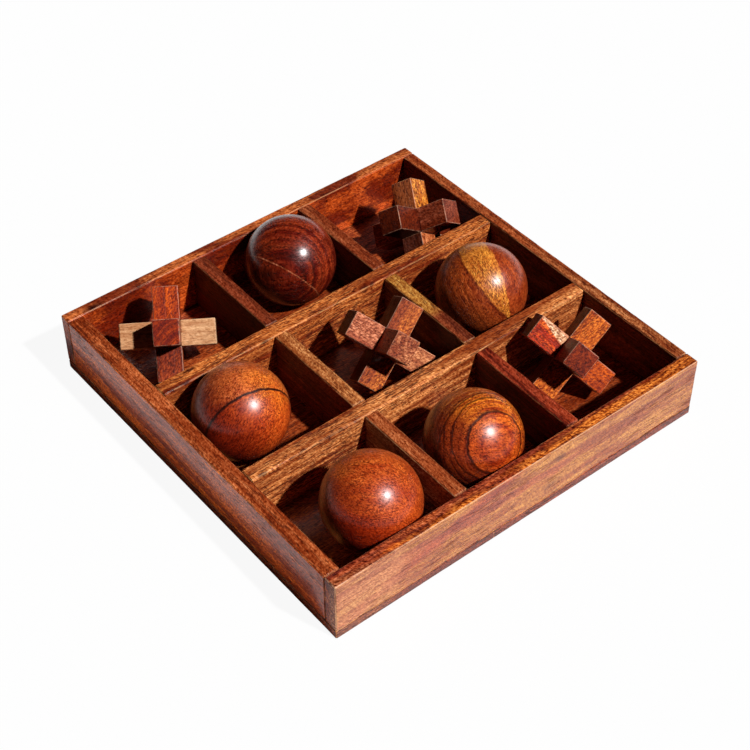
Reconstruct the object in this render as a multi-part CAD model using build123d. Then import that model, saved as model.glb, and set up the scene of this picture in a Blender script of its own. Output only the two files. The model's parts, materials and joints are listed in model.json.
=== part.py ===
"""A tic-tac-toe game in solid wood, built piece by piece in millimetres.

A square tray is made of a base board, four frame boards and eight dividers, which leave nine
cells. Five turned balls and four glued crosses stand in the cells and lift out of them.
The origin is at the middle of the underside, +Z is up, and +Y runs from the front to the back.
"""
from build123d import *
import os
from math import atan, degrees, sqrt
from typing import NamedTuple

# Tray
tray_side = 238.0
tray_height = 38.1
base_thickness = 6.0
front_board_thickness = 8.3
back_board_thickness = 7.3
left_board_thickness = 9.3
right_board_thickness = 7.4
long_divider_thickness = 9.3
short_divider_thickness = 8.2

# How far each divider stands from the even place that would make its cells equal, along +X or +Y
front_divider_shift = 0.9
back_divider_shift = -0.7
left_divider_shifts = {"front": 1.1, "middle": 1.0, "back": 2.0}
right_divider_shift = -1.5

# Balls and crosses
ball_diameter = 51.0
stick_length = 51.0
stick_width = 14.0
tenon_diameter = 6.0
tenon_clearance = 0.1
tenon_end_gap = 0.3
lift_gap = 0.1

# Rounding of the worn edges, and the largest share of a piece's thinnest side that it may take
board_rounding = 0.8
divider_rounding = 0.6
stick_rounding = 0.35
rounding_share = 0.3


class Place(NamedTuple):
    """The cell that a playing piece stands in, and where it lies between the cell's walls.

    across runs from 0, against the wall on the left, to 1, against the wall on the right,
    and along runs the same way from the wall in front to the wall behind.
    """

    column: str
    row: str
    across: float
    along: float


ball_places = {
    "back_middle_ball": Place("middle", "back", across=0.971, along=0.904),
    "middle_left_ball": Place("left", "middle", across=0.071, along=0.813),
    "middle_right_ball": Place("right", "middle", across=0.372, along=0.428),
    "front_left_ball": Place("left", "front", across=0.799, along=0.095),
    "front_middle_ball": Place("middle", "front", across=0.197, along=0.118),
}
cross_places = {
    "back_left_cross": Place("left", "back", across=0.308, along=0.565),
    "back_right_cross": Place("right", "back", across=0.942, along=0.021),
    "centre_cross": Place("middle", "middle", across=0.967, along=0.46),
    "front_right_cross": Place("right", "front", across=0.564, along=0.967),
}

# Headings in degrees from +X: of the level stick of the cross that rests on the edges of two arms,
# and of the upper arm of each cross that rests on the corners of three
level_stick_headings = {"back_left_cross": -33.1}
upper_arm_headings = {"back_right_cross": 64.2, "centre_cross": 136.4, "front_right_cross": 122.0}

# The inner faces of the four frame boards
half_side = tray_side / 2
left_inside = left_board_thickness - half_side
right_inside = half_side - right_board_thickness
front_inside = front_board_thickness - half_side
back_inside = half_side - back_board_thickness


def cell_spans(names, inside, thickness, low_shift, high_shift):
    """Return the clear spans of three named cells, with two dividers of one thickness between them."""
    even_width = (inside[1] - inside[0] - 2 * thickness) / 3
    low_cell = (inside[0], inside[0] + even_width + low_shift)
    high_cell = (inside[1] - even_width + high_shift, inside[1])
    middle_cell = (low_cell[1] + thickness, high_cell[0] - thickness)
    return dict(zip(names, (low_cell, middle_cell, high_cell)))


row_spans = cell_spans(
    ("front", "middle", "back"),
    (front_inside, back_inside),
    long_divider_thickness,
    front_divider_shift,
    back_divider_shift,
)


def column_spans(row):
    """Return the clear spans in X of the cells of one row, by column."""
    return cell_spans(
        ("left", "middle", "right"),
        (left_inside, right_inside),
        short_divider_thickness,
        left_divider_shifts[row],
        right_divider_shift,
    )


def block(x_span, y_span, z_span):
    """Return a box between two limits on each axis."""
    corner = (x_span[0], y_span[0], z_span[0])
    size = (x_span[1] - x_span[0], y_span[1] - y_span[0], z_span[1] - z_span[0])
    return Pos(*corner) * Box(*size, align=(Align.MIN, Align.MIN, Align.MIN))


def rounded(solid, edges, radius):
    """Return the solid with the given edges rounded, by no more than its thinnest side allows."""
    box_size = solid.bounding_box().size
    largest = rounding_share * min(box_size.X, box_size.Y, box_size.Z)
    return fillet(edges, min(radius, largest))


def edges_at(solid, axis, value):
    """Return the edges of a block that lie in the plane where the axis has the given value."""
    return solid.edges().filter_by_position(axis, value, value)


def base_board():
    """Return the bottom board, flush with the frame on all four sides."""
    board = block((-half_side, half_side), (-half_side, half_side), (0, base_thickness))
    corners = board.edges().filter_by(Axis.Z)
    return rounded(board, corners + edges_at(board, Axis.Z, 0), board_rounding)


def long_frame_board(y_span, outer_y):
    """Return the front or the back board, which runs the full side of the tray."""
    board = block((-half_side, half_side), y_span, (base_thickness, tray_height))
    corners = edges_at(board, Axis.Y, outer_y).filter_by(Axis.Z)
    return rounded(board, corners + edges_at(board, Axis.Z, tray_height), board_rounding)


def side_frame_board(x_span):
    """Return the left or the right board, which butts between the front and back boards."""
    board = block(x_span, (front_inside, back_inside), (base_thickness, tray_height))
    top_edges = edges_at(board, Axis.Z, tray_height).filter_by(Axis.Y)
    return rounded(board, top_edges, board_rounding)


def divider(x_span, y_span, grain_axis):
    """Return a divider with its two long top edges rounded."""
    board = block(x_span, y_span, (base_thickness, tray_height))
    top_edges = edges_at(board, Axis.Z, tray_height).filter_by(grain_axis)
    return rounded(board, top_edges, divider_rounding)


def tray_pieces():
    """Return the thirteen glued pieces of the tray, by name."""
    pieces = {
        "base_board": base_board(),
        "front_board": long_frame_board((-half_side, front_inside), -half_side),
        "back_board": long_frame_board((back_inside, half_side), half_side),
        "left_board": side_frame_board((-half_side, left_inside)),
        "right_board": side_frame_board((right_inside, half_side)),
    }
    inside = (left_inside, right_inside)
    front_divider = (row_spans["front"][1], row_spans["middle"][0])
    back_divider = (row_spans["middle"][1], row_spans["back"][0])
    pieces["front_long_divider"] = divider(inside, front_divider, Axis.X)
    pieces["back_long_divider"] = divider(inside, back_divider, Axis.X)
    for row, y_span in row_spans.items():
        columns = column_spans(row)
        left_divider = (columns["left"][1], columns["middle"][0])
        right_divider = (columns["middle"][1], columns["right"][0])
        pieces[f"{row}_row_left_divider"] = divider(left_divider, y_span, Axis.Y)
        pieces[f"{row}_row_right_divider"] = divider(right_divider, y_span, Axis.Y)
    return pieces


def lapped_stick(axis, notch_up):
    """Return a stick along X or Y, half cut away where it crosses its partner.

    The bore through the middle takes the tenons of the two short arms.
    """
    turn = Rot(0, 0, 0) if axis == Axis.X else Rot(0, 0, 90)
    stick = Box(stick_length, stick_width, stick_width)
    stick = rounded(stick, stick.edges(), stick_rounding)
    side = Align.MIN if notch_up else Align.MAX
    notch = Box(stick_width, 2 * stick_width, stick_width, align=(Align.CENTER, Align.CENTER, side))
    bore = Cylinder(tenon_diameter / 2 + tenon_clearance, 2 * stick_width)
    return turn * (stick - notch - bore)


def short_arm():
    """Return the arm that stands on the lapped sticks, with a round tenon under it."""
    half_width = stick_width / 2
    arm = block((-half_width, half_width), (-half_width, half_width), (half_width, stick_length / 2))
    outer_edges = arm.edges().filter_by(Axis.Z) + edges_at(arm, Axis.Z, stick_length / 2)
    arm = rounded(arm, outer_edges, stick_rounding)
    tenon_length = half_width - tenon_end_gap
    tenon = Cylinder(tenon_diameter / 2, tenon_length, align=(Align.CENTER, Align.CENTER, Align.MAX))
    return arm + Pos(0, 0, half_width) * tenon


def cross_pieces():
    """Return the four pieces of a cross about its centre, with its sticks along X, Y and Z."""
    arm = short_arm()
    return {
        "under_stick": lapped_stick(Axis.X, notch_up=True),
        "over_stick": lapped_stick(Axis.Y, notch_up=False),
        "upper_arm": arm,
        "lower_arm": Rot(180, 0, 0) * arm,
    }


def on_three_corners(pieces, arm_heading):
    """Stand a cross on three arm corners, with its upper arm towards a heading in degrees."""
    turn = Rot(0, 0, arm_heading - 180) * Rot(0, -degrees(atan(sqrt(2))), 0) * Rot(0, 0, -45)
    return {name: turn * piece for name, piece in pieces.items()}


def on_two_edges(pieces, level_heading):
    """Stand a cross on the end edges of two arms, with its under stick level along a heading."""
    turn = Rot(0, 0, level_heading) * Rot(-45, 0, 0)
    return {name: turn * piece for name, piece in pieces.items()}


def move_between(walls, low, high, share):
    """Return the move that sets a span between two walls, at a share of the room that it leaves."""
    room = (walls[1] - walls[0]) - (high - low)
    return walls[0] + share * room - low


def nested(pieces, place):
    """Set the pieces of one ball or cross down at its place in a cell."""
    boxes = [piece.bounding_box() for piece in pieces.values()]
    low = Vector(min(box.min.X for box in boxes), min(box.min.Y for box in boxes))
    high = Vector(max(box.max.X for box in boxes), max(box.max.Y for box in boxes))
    move_x = move_between(column_spans(place.row)[place.column], low.X, high.X, place.across)
    move_y = move_between(row_spans[place.row], low.Y, high.Y, place.along)
    lift = base_thickness + lift_gap - min(box.min.Z for box in boxes)
    return {name: Pos(move_x, move_y, lift) * piece for name, piece in pieces.items()}


def balls():
    """Return the five turned balls, by name."""
    ball = Sphere(ball_diameter / 2)
    return {name: nested({name: ball}, place)[name] for name, place in ball_places.items()}


def crosses():
    """Return the pieces of the four glued crosses, by name."""
    loose = cross_pieces()
    stood = {cross: on_two_edges(loose, heading) for cross, heading in level_stick_headings.items()}
    for cross, heading in upper_arm_headings.items():
        stood[cross] = on_three_corners(loose, heading)
    pieces = {}
    for cross, place in cross_places.items():
        for piece, solid in nested(stood[cross], place).items():
            pieces[f"{cross}_{piece}"] = solid
    return pieces


os.makedirs("parts", exist_ok=True)
for node, solid in {**tray_pieces(), **balls(), **crosses()}.items():
    export_step(solid, f"parts/{node}.step")
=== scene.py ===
"""Dresses a wooden tic-tac-toe game: worn boards, turned balls and crosses of square sticks.

Each piece of wood is built around its own middle, with its grain along X, and then set down where
its node lies. The place of every point in the piece of wood is kept as an attribute, so growth rings,
streaks and pores run through the piece as they do through the real one, also on its cut ends.
"""
import json
import logging
import math
from dataclasses import asdict, dataclass, fields
from enum import Enum
from typing import Any, Sequence, Union

import bpy
from mathutils import Matrix, Vector


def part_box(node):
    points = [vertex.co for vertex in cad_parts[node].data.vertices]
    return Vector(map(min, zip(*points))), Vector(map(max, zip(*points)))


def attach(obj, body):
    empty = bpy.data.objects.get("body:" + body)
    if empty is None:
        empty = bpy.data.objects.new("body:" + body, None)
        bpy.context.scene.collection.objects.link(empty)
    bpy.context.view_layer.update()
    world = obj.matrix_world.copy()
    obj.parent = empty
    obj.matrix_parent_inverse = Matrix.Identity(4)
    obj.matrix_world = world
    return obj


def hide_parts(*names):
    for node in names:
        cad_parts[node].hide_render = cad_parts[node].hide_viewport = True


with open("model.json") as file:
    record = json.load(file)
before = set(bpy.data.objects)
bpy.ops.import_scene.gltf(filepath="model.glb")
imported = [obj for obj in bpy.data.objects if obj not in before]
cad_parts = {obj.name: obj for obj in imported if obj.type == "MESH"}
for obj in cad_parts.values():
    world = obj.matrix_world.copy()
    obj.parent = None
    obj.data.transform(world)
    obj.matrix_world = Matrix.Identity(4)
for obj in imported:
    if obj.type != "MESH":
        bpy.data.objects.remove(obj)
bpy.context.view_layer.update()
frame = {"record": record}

log = logging.getLogger("tic_tac_toe")

Span = tuple[float, float]
Colour = tuple[float, float, float]
Direction = tuple[float, float, float]
Operand = Union["Signal", bpy.types.NodeSocket, float, Sequence[float]]

MM = 0.001
METRES_TO_MM = 1000.0
SCREEN_FULL = 255
PHOTO_SIDE_PX = 750
RIGHT_ANGLE = 90.0
WHITE: Colour = (1.0, 1.0, 1.0)

# What the meshes keep at each point for their materials.
GRAIN = "grain"
ARRIS = "arris"
END = "end"
CHIP = "chip"
FACING = "facing"

# The sides of a piece of wood, seen along its grain.
UP: Direction = (0.0, 0.0, 1.0)
DOWN: Direction = (0.0, 0.0, -1.0)
LEFT_HAND: Direction = (0.0, 1.0, 0.0)
RIGHT_HAND: Direction = (0.0, -1.0, 0.0)
FAR_END: Direction = (1.0, 0.0, 0.0)
NEAR_END: Direction = (-1.0, 0.0, 0.0)


def srgb(red: int, green: int, blue: int) -> Colour:
    """Turn a colour as a screen shows it into the linear values that a shader takes.

    Args:
        red: The red channel, from 0 to 255.
        green: The green channel.
        blue: The blue channel.

    Returns:
        The three linear channels, from 0 to 1.
    """
    shares = (channel / SCREEN_FULL for channel in (red, green, blue))
    # The standard's curve: a straight line in the darks, and a power above them.
    return tuple(share / 12.92 if share <= 0.04045 else ((share + 0.055) / 1.055) ** 2.4 for share in shares)


def turned(degrees: float, axis: str) -> Matrix:
    """Return a turn about one axis."""
    return Matrix.Rotation(math.radians(degrees), 4, axis)


def placed(name: str, data: bpy.types.ID) -> bpy.types.Object:
    """Put a new object into the scene.

    Args:
        name: The object's name.
        data: Its mesh, light or camera.

    Returns:
        The object.
    """
    thing = bpy.data.objects.new(name, data)
    bpy.context.scene.collection.objects.link(thing)
    return thing


class Signal:
    """A value that flows out of a node, with arithmetic that adds Math nodes."""

    def __init__(self, sheet: "NodeSheet", socket: bpy.types.NodeSocket) -> None:
        """Keep the socket and the sheet that it belongs to."""
        self.sheet = sheet
        self.socket = socket

    def __add__(self, other: Operand) -> "Signal":
        """Return self + other."""
        return self.sheet.math("ADD", self, other)

    __radd__ = __add__

    def __mul__(self, other: Operand) -> "Signal":
        """Return self * other."""
        return self.sheet.math("MULTIPLY", self, other)

    __rmul__ = __mul__

    def __sub__(self, other: Operand) -> "Signal":
        """Return self - other."""
        return self.sheet.math("SUBTRACT", self, other)

    def __rsub__(self, other: Operand) -> "Signal":
        """Return other - self."""
        return self.sheet.math("SUBTRACT", other, self)

    def __truediv__(self, other: Operand) -> "Signal":
        """Return self / other."""
        return self.sheet.math("DIVIDE", self, other)

    def __rtruediv__(self, other: Operand) -> "Signal":
        """Return other / self."""
        return self.sheet.math("DIVIDE", other, self)

    def __pow__(self, other: Operand) -> "Signal":
        """Return self ** other."""
        return self.sheet.math("POWER", self, other)

    def swung(self, reach: float) -> "Signal":
        """Return a value from 0 to 1 as one from minus to plus the reach."""
        return (self - 0.5) * (2.0 * reach)


class NodeSheet:
    """A node tree that is filled in from expressions, in a material or in Geometry Nodes."""

    def __init__(self, tree: bpy.types.NodeTree) -> None:
        """Keep the tree, which starts empty."""
        self.tree = tree
        tree.nodes.clear()

    def node(self, kind: str, settings: dict[str, Any] | None = None,
             sockets: dict[str | int, Operand] | None = None) -> bpy.types.Node:
        """Add a node, set its settings and then feed its sockets.

        Args:
            kind: The node's type, such as ShaderNodeTexNoise.
            settings: Its properties by name, such as a Math node's operation.
            sockets: Values or signals by the socket's name or index.

        Returns:
            The new node.
        """
        node = self.tree.nodes.new(kind)
        for name, value in (settings or {}).items():
            setattr(node, name, value)
        for name, value in (sockets or {}).items():
            self.feed(node.inputs[name], value)
        return node

    def feed(self, socket: bpy.types.NodeSocket, value: Operand) -> None:
        """Link a signal to an input socket, or set its value.

        Args:
            socket: The input socket.
            value: A signal, another node's output, or a plain number, vector or colour.
        """
        if isinstance(value, Signal):
            value = value.socket
        if isinstance(value, bpy.types.NodeSocket):
            self.tree.links.new(value, socket)
        elif socket.type == "RGBA":
            socket.default_value = (*value, 1.0)
        else:
            socket.default_value = value

    def out(self, kind: str, settings: dict[str, Any] | None = None,
            sockets: dict[str | int, Operand] | None = None, output: str | int = 0) -> Signal:
        """Add a node as node() does, and return one of its outputs as a signal."""
        return Signal(self, self.node(kind, settings, sockets).outputs[output])

    def math(self, operation: str, *operands: Operand) -> Signal:
        """Return the result of a Math node."""
        return self.out("ShaderNodeMath", {"operation": operation}, dict(enumerate(operands)))

    def vector(self, operation: str, *operands: Operand) -> Signal:
        """Return the vector that a Vector Math node gives, where SCALE takes a vector and a number."""
        names = (0, "Scale") if operation == "SCALE" else range(len(operands))
        return self.out("ShaderNodeVectorMath", {"operation": operation}, dict(zip(names, operands)))

    def measure(self, operation: str, *operands: Operand) -> Signal:
        """Return the number that a Vector Math node gives, for a length or a dot product."""
        settings = {"operation": operation}
        return self.out("ShaderNodeVectorMath", settings, dict(enumerate(operands)), "Value")

    def parts(self, vector: Signal) -> tuple[Signal, Signal, Signal]:
        """Return the X, Y and Z of a vector."""
        split = self.node("ShaderNodeSeparateXYZ", sockets={0: vector})
        return tuple(Signal(self, output) for output in split.outputs)

    def joined(self, x: Operand, y: Operand, z: Operand) -> Signal:
        """Return the vector with the given X, Y and Z."""
        return self.out("ShaderNodeCombineXYZ", sockets={0: x, 1: y, 2: z})

    def smooth(self, value: Operand, low: float, high: float) -> Signal:
        """Return a smooth rise from 0 to 1, or a fall if low is above high.

        Args:
            value: What it follows.
            low: Where it is still 0.
            high: Where it has become 1.

        Returns:
            The share, from 0 to 1.
        """
        reach = {"From Min": min(low, high), "From Max": max(low, high)}
        ends = {"To Min": 0.0, "To Max": 1.0} if low < high else {"To Min": 1.0, "To Max": 0.0}
        settings = {"interpolation_type": "SMOOTHSTEP"}
        return self.out("ShaderNodeMapRange", settings, {"Value": value, **reach, **ends})

    def clamped(self, value: Operand, low: float = 0.0, high: float = 1.0) -> Signal:
        """Return the value held between two limits."""
        return self.out("ShaderNodeClamp", sockets={"Value": value, "Min": low, "Max": high})

    def noise(self, place: Signal, scale: float = 1.0, detail: float = 2.0, roughness: float = 0.5,
              dimensions: str = "3D") -> Signal:
        """Return a smooth random value about 0.5.

        Args:
            place: The point that it is read at, or with dimensions 1D the number.
            scale: How many changes it has per unit.
            detail: How many finer layers it has.
            roughness: How strong they are.
            dimensions: 3D or 1D.

        Returns:
            The value.
        """
        where = "W" if dimensions == "1D" else "Vector"
        sockets = {where: place, "Scale": scale, "Detail": detail, "Roughness": roughness}
        return self.out("ShaderNodeTexNoise", {"noise_dimensions": dimensions}, sockets)

    def mixed(self, share: Operand, first: Operand, second: Operand) -> Signal:
        """Return two colours mixed.

        Args:
            share: The share of the second, from 0 to 1.
            first: The first colour.
            second: The second colour.

        Returns:
            The colour.
        """
        mix = self.node("ShaderNodeMix", {"data_type": "RGBA"})
        colours = [socket for socket in mix.inputs if socket.type == "RGBA"]
        for socket, value in zip((mix.inputs["Factor"], *colours), (share, first, second)):
            self.feed(socket, value)
        return Signal(self, next(socket for socket in mix.outputs if socket.type == "RGBA"))


@dataclass(frozen=True)
class Plane:
    """A plane across a piece of wood: its direction, and how far along that it lies, in mm."""

    towards: Direction
    place: float


@dataclass(frozen=True)
class Band:
    """Other wood beyond one plane, or between two, such as sapwood or a dark growth line. On the balls some
    bands are painted shade on the side away from the light, and some painted light where the ball faces it.

    Its edges are soft over a number of mm, and they wander by about wave mm.
    """

    low: Plane
    pale: Colour
    brown: Colour
    strength: float = 1.0
    soft: float = 0.4
    wave: float = 1.5
    high: Plane | None = None


@dataclass(frozen=True)
class KnotAndShadowLine:
    """A dark spot or split that the grain flows round, at a place in the piece of wood, in mm.

    It is stretch times as long along the grain as it is wide. Along an arris it is painted shadow: a thin
    dark line under a chipped edge.
    """

    place: Direction
    radius: float
    darkness: float = 0.7
    stretch: float = 2.0


@dataclass(frozen=True)
class Face:
    """How one face differs from its piece: by a tint, and by shares of varnish and of fine figure less.

    On many faces the tint is painted shade, and on a few painted light.
    """

    towards: Direction
    tint: Colour = WHITE
    dull: float = 0.0
    calm: float = 0.0


@dataclass(frozen=True)
class Figure:
    """A random pattern: its changes per mm along and across the grain, and how fine and rough it is."""

    along: float
    across: float
    detail: float = 2.0
    roughness: float = 0.5


@dataclass(frozen=True)
class Wood:
    """The looks of one piece of wood, with its lengths in mm.

    The grain runs along X. The growth rings lie about a pith at a distance from the piece's middle,
    across and up, which leans from the piece's length by two small slopes.
    """

    pale: Colour
    brown: Colour
    dark: Colour
    pith: Span = (30.0, -60.0)
    slope: Span = (0.03, 0.02)
    ring_width: float = 5.0
    ring_share: float = 0.7
    line_share: float = 0.35
    wander: float = 3.0
    streak_share: float = 0.8
    mottle_share: float = 0.8
    mottle_along: float = 0.016
    fibre_along: float = 0.16
    fibre_share: float = 1.1
    speckle_share: float = 1.5
    speckle_width: float = 1.25
    pore_share: float = 0.7
    pore_level: float = 0.58
    end_shade: float = 0.35
    # The arrises are paled to this colour: bare worn wood, and partly a painted highlight on the edges.
    arris_wear_and_highlight_colour: Colour = srgb(226, 160, 100)
    arris_share: float = 0.75
    arris_level: float = 0.8
    roughness: float = 0.42
    gloss: float = 0.2
    varnish: float = 0.6
    varnish_roughness: float = 0.25
    relief: float = 0.12
    bands: tuple[Band, ...] = ()
    knots_and_shadow_lines: tuple[KnotAndShadowLine, ...] = ()
    faces: tuple[Face, ...] = ()


@dataclass(frozen=True)
class StickWood(Wood):
    """The wood of a cross: short ripples more than long streaks, pale arrises and little varnish."""

    ring_share: float = 0.5
    line_share: float = 0.2
    streak_share: float = 0.5
    fibre_along: float = 0.3
    fibre_share: float = 0.9
    speckle_share: float = 1.9
    arris_wear_and_highlight_colour: Colour = srgb(240, 188, 155)
    arris_share: float = 0.8
    arris_level: float = 0.68
    varnish: float = 0.3


@dataclass(frozen=True)
class BallWood(Wood):
    """The wood of a ball: turned smooth, with a thick coat of varnish over short pores."""

    ring_share: float = 0.2
    streak_share: float = 0.4
    mottle_share: float = 0.5
    fibre_along: float = 0.4
    speckle_share: float = 1.15
    speckle_width: float = 1.1
    pore_share: float = 0.6
    roughness: float = 0.32
    gloss: float = 0.1
    varnish: float = 1.0
    varnish_roughness: float = 0.32
    relief: float = 0.28


class WoodShader:
    """Builds the material of one piece of wood, with lengths in mm.

    A span names the two values of a noise between which its pattern rises from nothing to full.
    """

    SEED_STEP: Direction = (137.0, 61.0, 29.0)
    SEED_RINGS = 3.7
    SAME_WAY: Span = (0.6, 0.8)

    FLOW: Direction = (0.012, 0.03, 0.03)
    DARK_SPOT_REACH = 4.0
    DARK_SPOT_PULL = 0.7

    RING_WAVES = Figure(0.05, 0.2)
    RING_WANDER = 0.25
    RING_ROUGHNESS = 0.6
    RING_SPAN: Span = (0.3, 0.7)
    LINES_PER_RING = 2.6
    LINE_OFFSET = 40.0
    LINE_SPAN: Span = (0.6, 0.72)

    STREAKS = Figure(0.02, 0.36, detail=3.0, roughness=0.6)
    MOTTLE_ACROSS = 0.07
    PATCH_SPAN: Span = (0.34, 0.66)
    BAND_WAVES = Figure(0.06, 0.22, detail=3.0)

    FIBRES_ACROSS = 1.25
    FIBRE_ROUGHNESS = 0.75
    PORES_ACROSS = 1.5
    PORES_PER_FIBRE = 1.3
    PORE_CROWDS = Figure(0.02, 0.12, detail=1.0)
    PORE_CROWDING = 0.175
    PORE_EDGE = 0.08
    RIPPLE_LEAN = 0.6
    RIPPLE_ACROSS = 0.9
    RIPPLE_ROUGHNESS = 0.7

    SHADE_LIMITS: Span = (0.15, 2.0)
    DEEPER_GREEN_AND_BLUE: Span = (1.6, 2.1)
    CHIP_SHADE_SHARE = 0.75
    RUBBED_AND_HIGHLIT_SPOTS = Figure(0.05, 0.3)
    RUBBED_AND_HIGHLIT_EDGE = 0.35

    PORE_DEPTH = 0.8
    LINE_DEPTH = 0.3
    LEAST_ROUGHNESS = 0.05
    ROUGHER_PORES = 0.2
    ROUGHER_FIBRES = 0.3
    ROUGHER_ARRISES = 0.3
    VARNISH_OVER = 1.5
    VARNISH_OFF_PORES = 0.5
    VARNISH_OFF_ARRISES = 0.8
    VARNISH_OFF_ENDS = 0.6

    def __init__(self, name: str, wood: Wood, seed: float) -> None:
        """Start an empty material.

        Args:
            name: The material's name.
            wood: The looks of the wood.
            seed: What makes this piece's pattern its own.
        """
        self.wood = wood
        self.seed = seed
        self.material = bpy.data.materials.new(name)
        self.material.use_nodes = True
        self.sheet = NodeSheet(self.material.node_tree)
        self.place = self.sheet.vector("SCALE", self._kept(GRAIN, "Vector"), METRES_TO_MM)
        self.bent = self._bent()
        facing = self._kept(FACING, "Vector")
        self.faces = [
            (face, self.sheet.smooth(self.sheet.measure("DOT_PRODUCT", facing, face.towards), *self.SAME_WAY))
            for face in wood.faces
        ]

    def build(self) -> bpy.types.Material:
        """Fill in the material.

        Returns:
            The finished material.
        """
        sheet, wood = self.sheet, self.wood
        tone, line = self._rings()
        fibres = Figure(wood.fibre_along, self.FIBRES_ACROSS, detail=3.0, roughness=self.FIBRE_ROUGHNESS)
        fibre = self._figure(fibres)
        pores = self._pores()
        colour = self._stained_and_painted_light(self._wood_colour(tone, line, fibre, pores), fibre)
        height = fibre - pores * self.PORE_DEPTH - line * self.LINE_DEPTH
        bump = sheet.out("ShaderNodeBump", sockets={"Height": height, "Distance": wood.relief * MM})
        worn = self._kept(ARRIS)
        roughness = pores * self.ROUGHER_PORES + fibre * self.ROUGHER_FIBRES + worn * self.ROUGHER_ARRISES
        roughness = roughness + (wood.roughness - self.ROUGHER_FIBRES / 2)
        bare = 1.0 - worn * self.VARNISH_OFF_ARRISES
        varnish = sheet.clamped(bare * (self.VARNISH_OVER - fibre - pores * self.VARNISH_OFF_PORES))
        varnish = varnish * wood.varnish * (1.0 - self._kept(END) * self.VARNISH_OFF_ENDS)
        for face, share in self.faces:
            varnish = varnish * (1.0 - share * face.dull)
        surface = sheet.out("ShaderNodeBsdfPrincipled", sockets={
            "Base Color": colour,
            "Roughness": sheet.clamped(roughness, self.LEAST_ROUGHNESS),
            "Specular IOR Level": wood.gloss,
            "Coat Weight": varnish,
            "Coat Roughness": wood.varnish_roughness,
            "Normal": bump,
        })
        sheet.node("ShaderNodeOutputMaterial", sockets={"Surface": surface})
        return self.material

    def _kept(self, name: str, output: str = "Fac") -> Signal:
        """Return what is kept on the mesh under a name, as a number or a vector."""
        return self.sheet.out("ShaderNodeAttribute", {"attribute_name": name}, output=output)

    def _bent(self) -> Signal:
        """Bend the grain in slow waves and round the dark spots, the painted shadow lines among them.

        Returns:
            The place in the bent wood, in mm.
        """
        sheet, wood = self.sheet, self.wood
        seeded = sheet.vector("ADD", self.place, tuple(self.seed * step for step in self.SEED_STEP))
        slow = sheet.vector("MULTIPLY", seeded, self.FLOW)
        flow = sheet.out("ShaderNodeTexNoise", sockets={"Vector": slow, "Scale": 1.0, "Detail": 2.0},
                         output="Color")
        flow = sheet.vector("SUBTRACT", flow, (0.5, 0.5, 0.5))
        sway = 2.0 * wood.wander
        bent = sheet.vector("ADD", seeded, sheet.vector("MULTIPLY", flow, (0.0, sway, sway)))
        for dark_spot in wood.knots_and_shadow_lines:
            away = sheet.vector("SUBTRACT", self.place, dark_spot.place)
            pull = sheet.vector("SCALE", away, self._near(dark_spot, self.DARK_SPOT_REACH) * -self.DARK_SPOT_PULL)
            bent = sheet.vector("ADD", bent, sheet.vector("MULTIPLY", pull, (0.0, 1.0, 1.0)))
        return bent

    def _near(self, dark_spot: KnotAndShadowLine, reach: float) -> Signal:
        """Show where a dark spot is, drawn out along the grain.

        Args:
            dark_spot: The dark spot.
            reach: How many of its radii it takes to fade.

        Returns:
            1 at the knot's middle, falling to 0.
        """
        away = self.sheet.vector("SUBTRACT", self.place, dark_spot.place)
        away = self.sheet.vector("MULTIPLY", away, (1.0 / dark_spot.stretch, 1.0, 1.0))
        return self.sheet.smooth(self.sheet.measure("LENGTH", away), dark_spot.radius * reach, 0.0)

    def _figure(self, figure: Figure) -> Signal:
        """Return a random pattern that follows the grain."""
        stretched = self.sheet.vector("MULTIPLY", self.bent, (figure.along, figure.across, figure.across))
        return self.sheet.noise(stretched, 1.0, figure.detail, figure.roughness)

    def _rings(self) -> tuple[Signal, Signal]:
        """Lay growth rings about the pith.

        Returns:
            The rings' soft tone, and the thin dark lines between them.
        """
        sheet, wood = self.sheet, self.wood
        along, *sideways = sheet.parts(self.bent)
        step_along, *steps = self.SEED_STEP
        # The pith goes along with the seed's step, so the rings keep their place in the piece.
        from_pith = [
            place - along * slope - (pith + self.seed * (step - step_along * slope))
            for place, slope, pith, step in zip(sideways, wood.slope, wood.pith, steps)
        ]
        radius = sheet.measure("LENGTH", sheet.joined(0.0, *from_pith))
        radius = radius + self._figure(self.RING_WAVES).swung(self.RING_WANDER * wood.wander)
        ring = radius / wood.ring_width + self.seed * self.SEED_RINGS
        tone = sheet.noise(ring, roughness=self.RING_ROUGHNESS, dimensions="1D")
        line = sheet.noise(ring + self.LINE_OFFSET, self.LINES_PER_RING, 1.0, dimensions="1D")
        return sheet.smooth(tone, *self.RING_SPAN), sheet.smooth(line, *self.LINE_SPAN)

    def _pores(self) -> Signal:
        """Scatter short dark pores along the grain, closer together in some places.

        Returns:
            Where they are, from 0 to 1.
        """
        level = self.wood.pore_level
        grains = Figure(self.wood.fibre_along * self.PORES_PER_FIBRE, self.PORES_ACROSS, detail=1.0)
        crowds = self._figure(self.PORE_CROWDS).swung(self.PORE_CROWDING)
        return self.sheet.smooth(self._figure(grains) + crowds, level, level + self.PORE_EDGE)

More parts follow.
